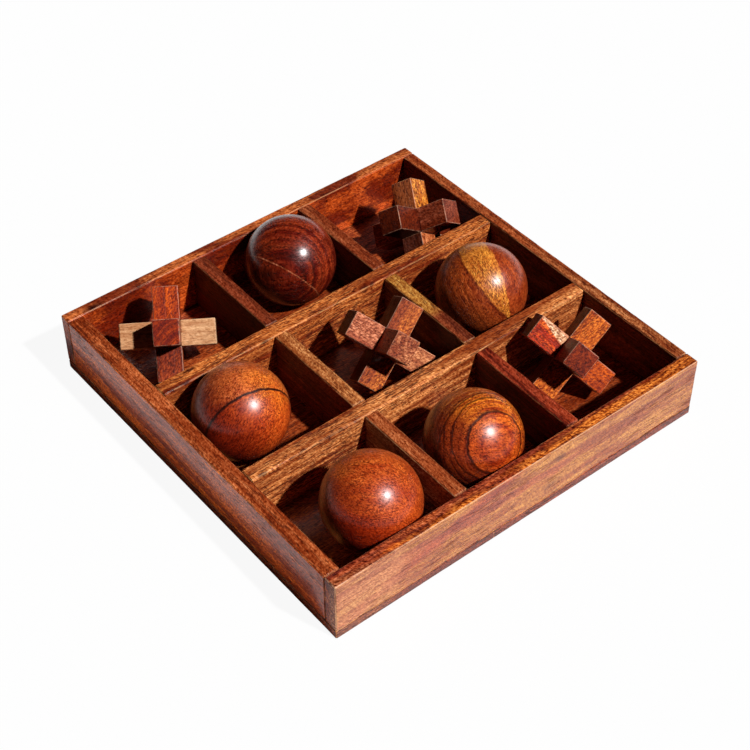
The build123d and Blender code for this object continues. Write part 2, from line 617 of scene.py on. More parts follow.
    def _wood_colour(self, tone: Signal, line: Signal, fibre: Signal, pores: Signal) -> Signal:
        """Lay the rings, streaks, bands, dark spots and pores over one another, some of them painted light
        and shade.

        Args:
            tone: The soft tone of the growth rings.
            line: The thin dark growth lines.
            fibre: The fine fibre.
            pores: The pores.

        Returns:
            The colour of clean wood.
        """
        sheet, wood = self.sheet, self.wood
        streak = sheet.smooth(self._figure(self.STREAKS), *self.PATCH_SPAN)
        mottling = Figure(wood.mottle_along, self.MOTTLE_ACROSS, self.STREAKS.detail, self.STREAKS.roughness)
        mottle = sheet.smooth(self._figure(mottling), *self.PATCH_SPAN)
        blend = tone.swung(wood.ring_share / 2) + streak.swung(wood.streak_share / 2) + 0.5
        blend = sheet.clamped(blend + mottle.swung(wood.mottle_share / 2))
        colour = sheet.mixed(blend, wood.pale, wood.brown)
        colour = sheet.mixed(line * wood.line_share, colour, wood.dark)
        for band in wood.bands:
            colour = sheet.mixed(self._band(band), colour, sheet.mixed(blend, band.pale, band.brown))
        # Dark spots in the wood, and along an arris painted shadow lines under chipped edges.
        for dark_spot in wood.knots_and_shadow_lines:
            colour = sheet.mixed(self._near(dark_spot, 1.0) * dark_spot.darkness, colour, wood.dark)
        shade = fibre.swung(wood.fibre_share) + self._ripple().swung(wood.speckle_share)
        for face, share in self.faces:
            shade = shade * (1.0 - share * face.calm)
        shade = sheet.clamped(shade + 1.0, *self.SHADE_LIMITS)
        deeper = sheet.joined(shade, *(shade ** power for power in self.DEEPER_GREEN_AND_BLUE))
        return sheet.mixed(pores * wood.pore_share, sheet.vector("MULTIPLY", colour, deeper), wood.dark)

    def _ripple(self) -> Signal:
        """Draw the fine ripples that slant across the grain.

        Returns:
            Their random value, about 0.5.
        """
        x, y, z = self.sheet.parts(self.bent)
        across = self.RIPPLE_ACROSS
        slanted = self.sheet.joined(x + (y + z) * self.RIPPLE_LEAN, y * across, z * across)
        return self.sheet.noise(slanted, 1.0 / self.wood.speckle_width, roughness=self.RIPPLE_ROUGHNESS)

    def _stained_and_painted_light(self, colour: Signal, fibre: Signal) -> Signal:
        """Tint the faces, some with painted shade and some with painted light, darken end grain, darken chips
        as painted shade, and pale the arrises as bare worn wood and partly a painted highlight.

        Args:
            colour: The colour of clean wood.
            fibre: The fine fibre.

        Returns:
            The finished colour.
        """
        sheet, wood = self.sheet, self.wood
        for face, share in self.faces:
            colour = sheet.mixed(share, colour, sheet.vector("MULTIPLY", colour, face.tint))
        colour = sheet.vector("SCALE", colour, 1.0 - self._kept(END) * wood.end_shade)
        # Painted shade: the chipped slots along the arrises are darkened.
        colour = sheet.mixed(self._kept(CHIP) * self.CHIP_SHADE_SHARE, colour, wood.dark)
        # Painted highlight and wear: the arrises are paled in spots, as bare worn wood and partly as a
        # highlight that the edges catch.
        spots = fibre + self._figure(self.RUBBED_AND_HIGHLIT_SPOTS)
        worn = self._kept(ARRIS) * sheet.smooth(spots, wood.arris_level, wood.arris_level + self.RUBBED_AND_HIGHLIT_EDGE)
        return sheet.mixed(worn * wood.arris_share, colour, wood.arris_wear_and_highlight_colour)

    def _band(self, band: Band) -> Signal:
        """Show where a band lies.

        Args:
            band: The band.

        Returns:
            Its strength inside, falling to 0 outside.
        """
        sheet = self.sheet
        wave = self._figure(self.BAND_WAVES).swung(band.wave)
        low = sheet.measure("DOT_PRODUCT", self.place, band.low.towards) + wave
        inside = sheet.smooth(low, band.low.place - band.soft, band.low.place + band.soft)
        if band.high:
            high = sheet.measure("DOT_PRODUCT", self.place, band.high.towards) + wave
            inside = inside * sheet.smooth(high, band.high.place + band.soft, band.high.place - band.soft)
        return inside * band.strength


class Notch(Enum):
    """Where half of a stick is cut away for the one that crosses it."""

    NONE = 0.0
    TOP = 1.0
    UNDERSIDE = -1.0


@dataclass(frozen=True)
class Wear:
    """How a squared piece of wood is worn, and how fine its mesh is, all in mm."""

    rounding: float
    support: float
    spacing: float
    rubbed: float
    chipped: float
    uneven: float

    def inputs(self) -> dict[str, float]:
        """Return the node tree's inputs in metres, under the names of the fields."""
        return {name.capitalize(): length * MM for name, length in asdict(self).items()}


class Maker:
    """Makes pieces of wood of one kind from a Geometry Nodes tree."""

    def __init__(self, name: str, inputs: dict[str, str]) -> None:
        """Build the node tree.

        Args:
            name: The tree's name.
            inputs: The kinds of its inputs by their names, apart from the material.
        """
        self.tree = bpy.data.node_groups.new(name, "GeometryNodeTree")
        self.sheet = NodeSheet(self.tree)
        interface = self.tree.interface
        interface.new_socket("Geometry", in_out="OUTPUT", socket_type="NodeSocketGeometry")
        for title, kind in {**inputs, "Material": "Material"}.items():
            interface.new_socket(title, in_out="INPUT", socket_type=f"NodeSocket{kind}")
        group = self.sheet.node("NodeGroupInput")
        self.given = {output.name: Signal(self.sheet, output) for output in group.outputs if output.name}
        self._finish(self._shape())

    def _shape(self) -> Signal:
        """Return the bare geometry, which each kind of maker builds in its own way."""
        raise NotImplementedError

    def _finish(self, geometry: Signal) -> None:
        """Keep each point's place in the wood, make one mesh of it all and give it its material.

        Args:
            geometry: The bare geometry.
        """
        sheet = self.sheet
        here = sheet.out("GeometryNodeInputPosition")
        whole = self._stored(geometry, GRAIN, here, "FLOAT_VECTOR")
        whole = sheet.out("GeometryNodeSetShadeSmooth", sockets={0: whole})
        whole = sheet.out("GeometryNodeRealizeInstances", sockets={0: whole})
        sockets = {"Geometry": whole, "Material": self.given["Material"]}
        sheet.node("NodeGroupOutput", sockets={0: sheet.out("GeometryNodeSetMaterial", sockets=sockets)})

    def _stored(self, geometry: Signal, name: str, value: Signal, kind: str = "FLOAT") -> Signal:
        """Keep a value at each point.

        Args:
            geometry: The geometry so far.
            name: The name that the value is kept under.
            value: The value.
            kind: Its data type.

        Returns:
            The geometry with the value.
        """
        sockets = {"Geometry": geometry, "Name": name, "Value": value}
        settings = {"data_type": kind, "domain": "POINT"}
        return self.sheet.out("GeometryNodeStoreNamedAttribute", settings, sockets)

    def make(self, node: str, finish: str, values: dict[str, Any], placing: Matrix) -> None:
        """Run the tree once and let what it makes, as a plain mesh, stand for a CAD node.

        Args:
            node: The CAD node.
            finish: The end of the piece's name.
            values: The tree's inputs by name.
            placing: Where the mesh goes and how it is turned.
        """
        name = f"{node}_{finish}"
        piece = placed(name, bpy.data.meshes.new(f"{name}_seed"))
        modifier = piece.modifiers.new("make", "NODES")
        modifier.node_group = self.tree
        for item in self.tree.interface.items_tree:
            if item.item_type == "SOCKET" and item.in_out == "INPUT":
                modifier[item.identifier] = values[item.name]
        graph = bpy.context.evaluated_depsgraph_get()
        made = piece.evaluated_get(graph)
        mesh = bpy.data.meshes.new_from_object(made, preserve_all_data_layers=True, depsgraph=graph)
        piece.modifiers.remove(modifier)
        mesh.name = name
        mesh.transform(placing)
        piece.data = mesh
        settle(piece, node)


def settle(piece: bpy.types.Object, node: str) -> None:
    """Let a finished piece stand for a node and ride on that node's body.

    Args:
        piece: The finished piece.
        node: The CAD node.
    """
    body = next(name for name, nodes in frame["record"]["behaviour"]["bodies"].items() if node in nodes)
    slot = next(part["material_slot"] for part in frame["record"]["subparts"] if part["node"] == node)
    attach(piece, body)
    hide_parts(node)
    log.info("%s stands for %s on %s, %d faces", piece.name, node, body, len(piece.data.polygons))


class BlockMaker(Maker):
    """Makes squared pieces of wood with rounded, worn and chipped arrises.

    Along each axis the rows of faces lie close together over the arrises, with one row more beside
    each of them. The noises of the wear have so many changes per metre.
    """

    ARC_ROWS = 3
    EDGE_ROWS = 4
    SEED_STEP: Direction = (1.0, 1.7, 0.3)
    RUBBED_SCALE = 300.0
    CHIP_SCALE = 150.0
    CHIP_DRAW: Direction = (0.3, 1.0, 1.0)
    CHIP_ROUGHNESS = 0.6
    CHIP_SPAN: Span = (0.52, 0.6)
    PLANED_SCALE = 22.0

    def __init__(self) -> None:
        """Build the node tree."""
        lengths = {field.name.capitalize(): "Float" for field in fields(Wear)}
        super().__init__("worn_block", {"Size": "Vector", **lengths, "Seed": "Float", "Notch": "Float"})

    def _shape(self) -> Signal:
        """Turn a cube into a worn block, cut for its neighbour where it has a notch.

        Returns:
            The block.
        """
        sheet, radius = self.sheet, self.given["Rounding"]
        sizes = sheet.parts(self.given["Size"])
        rows = [self._rows(size) for size in sizes]
        counts = {f"Vertices {axis}": count + 1.0 for axis, count in zip("XYZ", rows)}
        block = sheet.out("GeometryNodeMeshCube", sockets={"Size": (1.0, 1.0, 1.0), **counts})
        here = sheet.parts(sheet.out("GeometryNodeInputPosition"))
        flat = sheet.joined(*(
            self._spread((start + 0.5) * count, count, size) for start, count, size in zip(here, rows, sizes)
        ))
        half = sheet.vector("SCALE", self.given["Size"], 0.5)
        limit = sheet.vector("SUBTRACT", half, sheet.joined(radius, radius, radius))
        core = sheet.vector("MINIMUM", flat, limit)
        core = sheet.vector("MAXIMUM", core, sheet.vector("SCALE", limit, -1.0))
        reach = sheet.vector("SUBTRACT", flat, core)
        length = sheet.measure("LENGTH", reach)
        outward = sheet.vector("SCALE", reach, 1.0 / length)
        surface = sheet.vector("ADD", core, sheet.vector("SCALE", outward, radius))
        arris = sheet.clamped((length / radius - 1.0) / (math.sqrt(2.0) - 1.0))
        end = sheet.clamped(sheet.math("ABSOLUTE", sheet.parts(reach)[0]) / radius)
        worn, chip = self._wear(surface, arris)
        for name, value in ((ARRIS, arris), (END, end), (CHIP, chip)):
            block = self._stored(block, name, value)
        block = self._stored(block, FACING, outward, "FLOAT_VECTOR")
        worn_place = sheet.vector("SUBTRACT", surface, sheet.vector("SCALE", outward, worn))
        block = sheet.out("GeometryNodeSetPosition", sockets={"Geometry": block, "Position": worn_place})
        return self._notched(block, sizes[1])

    def _rows(self, size: Signal) -> Signal:
        """Count the rows of faces on a side of the block.

        Args:
            size: The side's length.

        Returns:
            The number of rows.
        """
        inner = size - 2.0 * (self.given["Rounding"] + self.given["Support"])
        plain = self.sheet.math("MAXIMUM", self.sheet.math("CEIL", inner / self.given["Spacing"]), 1.0)
        return plain + 2.0 * self.EDGE_ROWS

    def _spread(self, row: Signal, count: Signal, size: Signal) -> Signal:
        """Say where a row of points lies, with rows close together at both edges.

        Args:
            row: The row's number, from 0.
            count: The number of rows of faces.
            size: The block's size along this axis.

        Returns:
            The coordinate along this axis.
        """
        sheet, rounding, support = self.sheet, self.given["Rounding"], self.given["Support"]
        arc = rounding / self.ARC_ROWS
        low_arc = sheet.math("MINIMUM", row, self.ARC_ROWS) * arc
        low_support = sheet.clamped(row - self.ARC_ROWS) * support
        inner = size - 2.0 * (rounding + support)
        middle = sheet.clamped((row - self.EDGE_ROWS) / (count - 2.0 * self.EDGE_ROWS)) * inner
        high_support = sheet.clamped(row - (count - self.EDGE_ROWS)) * support
        high_arc = sheet.math("MAXIMUM", row - (count - self.ARC_ROWS), 0.0) * arc
        return low_arc + low_support + middle + high_support + high_arc - size / 2.0

    def _wear(self, surface: Signal, arris: Signal) -> tuple[Signal, Signal]:
        """Wear the new block down.

        Args:
            surface: The new block's surface.
            arris: How near an arris each point is.

        Returns:
            How far the worn surface lies inside the new one, and where it is chipped.
        """
        sheet, given = self.sheet, self.given
        place = sheet.vector("ADD", surface, sheet.vector("SCALE", self.SEED_STEP, given["Seed"]))
        rubbed = sheet.noise(place, self.RUBBED_SCALE, 3.0) * given["Rubbed"] * arris
        drawn = sheet.vector("MULTIPLY", place, self.CHIP_DRAW)
        chip = sheet.noise(drawn, self.CHIP_SCALE, 3.0, self.CHIP_ROUGHNESS)
        chip = sheet.smooth(chip, *self.CHIP_SPAN) * arris
        planed = sheet.noise(place, self.PLANED_SCALE, 1.0) * given["Uneven"]
        return rubbed + chip * given["Chipped"] + planed, chip

    def _notched(self, block: Signal, width: Signal) -> Signal:
        """Cut the notch, where one is asked for.

        Args:
            block: The block without its notch.
            width: The stick's width.

        Returns:
            The block with the notch, or as it was.
        """
        sheet, side = self.sheet, self.given["Notch"]
        cutter = sheet.out("GeometryNodeMeshCube", sockets={"Size": sheet.joined(width, width * 2.0, width)})
        lift = sheet.joined(0.0, 0.0, side * width / 2.0)
        cutter = sheet.out("GeometryNodeTransform", sockets={"Geometry": cutter, "Translation": lift})
        settings = {"operation": "DIFFERENCE", "solver": "EXACT"}
        cut = sheet.out("GeometryNodeMeshBoolean", settings, {"Mesh 1": block, "Mesh 2": cutter})
        settings = {"data_type": "FLOAT", "operation": "GREATER_THAN"}
        wanted = sheet.out("FunctionNodeCompare", settings, {0: side * side, 1: 0.5})
        choice = {"Switch": wanted, "False": block, "True": cut}
        return sheet.out("GeometryNodeSwitch", {"input_type": "GEOMETRY"}, choice)


class BallMaker(Maker):
    """Makes turned balls, which are uneven by a noise with so many changes per metre."""

    SUBDIVISIONS = 6
    SEED_STEP: Direction = (1.0, 1.3, 0.0)
    TURNED_SCALE = 45.0

    def __init__(self) -> None:
        """Build the node tree."""
        super().__init__("turned_ball", dict.fromkeys(("Radius", "Unevenness", "Seed"), "Float"))

    def _shape(self) -> Signal:
        """Turn a sphere into a ball that was turned by hand.

        Returns:
            The ball.
        """
        sheet, given = self.sheet, self.given
        sizes = {"Radius": given["Radius"], "Subdivisions": self.SUBDIVISIONS}
        ball = sheet.out("GeometryNodeMeshIcoSphere", sockets=sizes)
        here = sheet.out("GeometryNodeInputPosition")
        place = sheet.vector("ADD", here, sheet.vector("SCALE", self.SEED_STEP, given["Seed"]))
        hollow = sheet.noise(place, self.TURNED_SCALE) * given["Unevenness"]
        offset = sheet.vector("SCALE", sheet.vector("NORMALIZE", here), hollow * -1.0)
        return sheet.out("GeometryNodeSetPosition", sockets={"Geometry": ball, "Offset": offset})


@dataclass
class Tray:
    """The tray: a base board, four frame boards and eight dividers, with their grain along their length."""

    woods: dict[str, Wood]
    wear: Wear = Wear(rounding=0.8, support=0.35, spacing=1.6, rubbed=0.45, chipped=0.9, uneven=0.12)
    base_wear: Wear = Wear(rounding=0.8, support=0.35, spacing=3.0, rubbed=0.3, chipped=0.4, uneven=0.1)

    def build(self, maker: BlockMaker) -> None:
        """Build and dress each board in the box of its node.

        Args:
            maker: What makes the blocks.
        """
        for seed, (node, wood) in enumerate(self.woods.items(), start=1):
            low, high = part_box(node)
            size = high - low
            turn = Matrix.Identity(4)
            if size.y > size.x:
                turn = turned(RIGHT_ANGLE, "Z")
                size = Vector((size.y, size.x, size.z))
            wear = self.base_wear if node == "base_board" else self.wear
            values = {
                "Size": size,
                "Seed": float(seed),
                "Notch": Notch.NONE.value,
                "Material": WoodShader(f"{node}_wood", wood, float(seed)).build(),
                **wear.inputs(),
            }
            maker.make(node, "worn", values, Matrix.Translation((low + high) / 2) @ turn)


@dataclass
class Ball:
    """One turned ball: its wood, and how its growth layers and its fibres lie, along the tray's axes."""

    node: str
    seed: float
    layers: Direction
    fibre: Direction
    wood: Wood
    unevenness: float = 0.08

    def build(self, maker: BallMaker) -> None:
        """Build and dress the ball.

        Args:
            maker: What makes the balls.
        """
        low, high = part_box(self.node)
        values = {
            "Radius": (high.z - low.z) / 2,
            "Unevenness": self.unevenness * MM,
            "Seed": self.seed,
            "Material": WoodShader(f"{self.node}_wood", self.wood, self.seed).build(),
        }
        maker.make(self.node, "turned", values, Matrix.Translation((low + high) / 2) @ self._turn())

    def _turn(self) -> Matrix:
        """Lay X along the fibres and Z across the growth layers.

        Returns:
            The turn.
        """
        up = Vector(self.layers).normalized()
        along = Vector(self.fibre)
        along = (along - up * along.dot(up)).normalized()
        return Matrix((along, up.cross(along), up)).transposed().to_4x4()


class Stance(Enum):
    """How a cross stands on the floor of its cell."""

    THREE_CORNERS = "on the corners of three arms"
    TWO_EDGES = "on the end edges of two arms"


@dataclass
class Cross:
    """One cross of two lapped sticks and two short arms, sizes in mm and headings in degrees."""

    name: str
    stance: Stance
    heading: float
    seed: float
    under_stick: Wood
    over_stick: Wood
    upper_arm: Wood
    lower_arm: Wood
    length: float = 51.0
    width: float = 14.0
    wear: Wear = Wear(rounding=0.5, support=0.25, spacing=1.0, rubbed=0.18, chipped=0.4, uneven=0.06)

    def build(self, maker: BlockMaker) -> None:
        """Build and dress the four pieces.

        Args:
            maker: What makes the blocks.
        """
        low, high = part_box(f"{self.name}_under_stick")
        stood = Matrix.Translation((low + high) / 2) @ self._turn()
        arm_length = (self.length - self.width) / 2
        arm_middle = (self.length + self.width) / 4 * MM
        upright = turned(-RIGHT_ANGLE, "Y")
        raised = Matrix.Translation((0, 0, arm_middle)) @ upright
        lowered = Matrix.Translation((0, 0, -arm_middle)) @ upright
        pieces = (
            ("under_stick", self.under_stick, self.length, Notch.TOP, Matrix.Identity(4)),
            ("over_stick", self.over_stick, self.length, Notch.UNDERSIDE, turned(RIGHT_ANGLE, "Z")),
            ("upper_arm", self.upper_arm, arm_length, Notch.NONE, raised),
            ("lower_arm", self.lower_arm, arm_length, Notch.NONE, lowered),
        )
        for number, (piece, wood, length, notch, place) in enumerate(pieces):
            node = f"{self.name}_{piece}"
            seed = self.seed + number
            values = {
                "Size": Vector((length, self.width, self.width)) * MM,
                "Seed": seed,
                "Notch": notch.value,
                "Material": WoodShader(f"{node}_wood", wood, seed).build(),
                **self.wear.inputs(),
            }
            maker.make(node, "worn", values, stood @ place)

    def _turn(self) -> Matrix:
        """Turn the cross from its sticks along X, Y and Z to how it stands.

        Returns:
            The turn.
        """
        if self.stance is Stance.TWO_EDGES:
            return turned(self.heading, "Z") @ turned(-RIGHT_ANGLE / 2, "X")
        # This tips a cube's corner to the top, so the three arms below it lean alike.
        tip = Matrix.Rotation(-math.atan(math.sqrt(2.0)), 4, "Y")
        return turned(self.heading - 2 * RIGHT_ANGLE, "Z") @ tip @ turned(-RIGHT_ANGLE / 2, "Z")


@dataclass
class Studio:
    """The floor, the lights and the camera, with lengths in metres and angles in degrees."""

    floor_side: float = 4.0
    floor_colour: Colour = (0.88, 0.88, 0.88)
    floor_glow: float = 0.93
    camera_place: Direction = (-0.40453, -0.50440, 0.63686)
    azimuth: float = -38.735
    elevation: float = 44.078
    roll: float = -0.154
    focal_px: float = 1679.7
    sensor_mm: float = 36.0
    nearest: float = 0.01
    sun_from: Direction = (0.21, -0.645, 0.735)
    sun_strength: float = 4.2
    sun_angle: float = 2.5
    sky_strength: float = 0.003

    def build(self) -> None:
        """Set the stage."""
        self._camera()
        self._sun()
        self._sky()
        self._floor()
        bpy.context.scene.view_settings.view_transform = "Standard"

    def _camera(self) -> None:
        """Place the camera where the photograph was taken from."""
        lens = bpy.data.cameras.new("camera")
        lens.sensor_width = self.sensor_mm
        lens.sensor_fit = "HORIZONTAL"
        lens.lens = self.focal_px * self.sensor_mm / PHOTO_SIDE_PX
        lens.clip_start = self.nearest
        turn = turned(self.azimuth, "Z") @ turned(RIGHT_ANGLE - self.elevation, "X") @ turned(self.roll, "Z")
        camera = placed("camera", lens)
        camera.matrix_world = Matrix.Translation(self.camera_place) @ turn
        bpy.context.scene.camera = camera

    def _sun(self) -> None:
        """Add the key light."""
        light = bpy.data.lights.new("key_light", "SUN")
        light.energy = self.sun_strength
        light.angle = math.radians(self.sun_angle)
        sun = placed("key_light", light)
        sun.rotation_euler = Vector(self.sun_from).to_track_quat("Z", "Y").to_euler()

    def _sky(self) -> None:
        """Fill the room with a faint light, and show white behind the object."""
        world = bpy.data.worlds.new("room")
        world.use_nodes = True
        sheet = NodeSheet(world.node_tree)
        strength = sheet.math("MAXIMUM", self._seen(sheet), self.sky_strength)
        light = sheet.out("ShaderNodeBackground", sockets={"Color": WHITE, "Strength": strength})
        sheet.node("ShaderNodeOutputWorld", sockets={"Surface": light})
        bpy.context.scene.world = world

    def _floor(self) -> None:
        """Lay a plain white floor, which keeps a light shadow."""
        half = self.floor_side / 2
        mesh = bpy.data.meshes.new("floor")
        corners = [(-half, -half, 0.0), (half, -half, 0.0), (half, half, 0.0), (-half, half, 0.0)]
        mesh.from_pydata(corners, [], [(0, 1, 2, 3)])
        material = bpy.data.materials.new("floor_white")
        material.use_nodes = True
        sheet = NodeSheet(material.node_tree)
        matt = sheet.out("ShaderNodeBsdfDiffuse", sockets={"Color": self.floor_colour})
        glow = sheet.out("ShaderNodeEmission", sockets={"Color": WHITE, "Strength": 1.0})
        shares = {0: self._seen(sheet) * self.floor_glow, 1: matt, 2: glow}
        surface = sheet.out("ShaderNodeMixShader", sockets=shares)
        sheet.node("ShaderNodeOutputMaterial", sockets={"Surface": surface})
        mesh.materials.append(material)
        floor = placed("floor", mesh)

    @staticmethod
    def _seen(sheet: NodeSheet) -> Signal:
        """Return 1 for what the camera sees straight, and 0 for light that falls on the object."""
        return sheet.out("ShaderNodeLightPath", output="Is Camera Ray")


def growth_line(place: float, width: float, colour: Colour, strength: float = 0.8,
                towards: Direction = UP, wave: float = 0.8) -> Band:
    """Draw a thin band of one width.

    Args:
        place: How far along its direction the line lies, in mm.
        width: How wide it is, in mm.
        colour: Its colour.
        strength: How much it covers.
        towards: The direction that it lies across.
        wave: How far it wanders, in mm.

    Returns:
        The band.
    """
    half = width / 2
    return Band(Plane(towards, place - half), colour, colour, strength, width / 3, wave,
                Plane(towards, place + half))


def edge_mark(place: float, width: float, strength: float) -> Band:
    """Draw a pale mark across the base board's front edge, which closes under the front board.

    Args:
        place: How far along the board it lies, in mm.
        width: How wide it is, in mm.
        strength: How much it covers.

    Returns:
        The band.
    """
    half = width / 2
    opening = Plane(FAR_END, place - half)
    closing = Plane((1.0, MARK_SLOPE, 0.0), place + half - MARK_SLOPE * HALF_SIDE)
    return Band(opening, MARK_COLOUR, MARK_COLOUR, strength, width / 3, MARK_WAVE, closing)


# The marks on the base board's front edge, in mm.
HALF_SIDE = 119.0
MARK_SLOPE = 0.15
MARK_WAVE = 0.3
MARK_COLOUR = srgb(191, 114, 68)

# A board's side that looks away from the light, painted darker and duller than the rest of it: painted shade,
# which also throws less light onto the balls.
PAINTED_SHADE_SIDE = Face(RIGHT_HAND, (0.5, 0.4, 0.4), 0.7)

